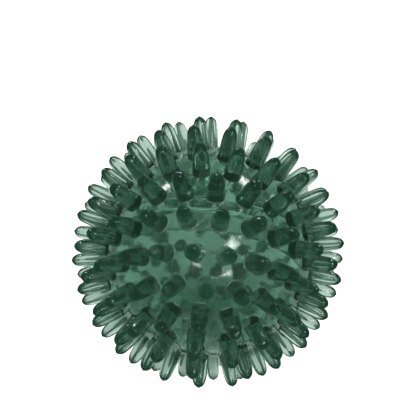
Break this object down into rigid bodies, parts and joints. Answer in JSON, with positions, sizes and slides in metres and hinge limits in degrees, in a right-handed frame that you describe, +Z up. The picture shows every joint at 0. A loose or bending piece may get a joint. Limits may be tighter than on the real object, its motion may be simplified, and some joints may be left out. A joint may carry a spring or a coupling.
{
  "type": "massage ball",
  "caption": "Hollow translucent ball covered in blunt solid spikes for massage, made of two welded half shells, with a filling valve and pull-out stopper at one pole.",
  "frame": {"origin": "centre of the ball", "axes": "+Y is the polar axis, out through the valve; +Z is up as the ball lies in use; the spike rows are circles about Y"},
  "size_m": [0.0998, 0.0964, 0.0998],
  "materials": {
    "shell": "clear glossy soft vinyl, smoke green",
    "valve": "satin soft vinyl, darker smoke green"
  },
  "bodies": {
    "ball": {"valve_side_shell": "shell", "plain_side_shell": "shell", "valve_seat": "valve"},
    "stopper": {"valve_plug": "valve"}
  },
  "joints": [
    {"name": "stopper_pull", "type": "slide", "parent": "ball", "child": "stopper", "axis": [0, 1, 0], "range_m": [0, 0.02]}
  ]
}
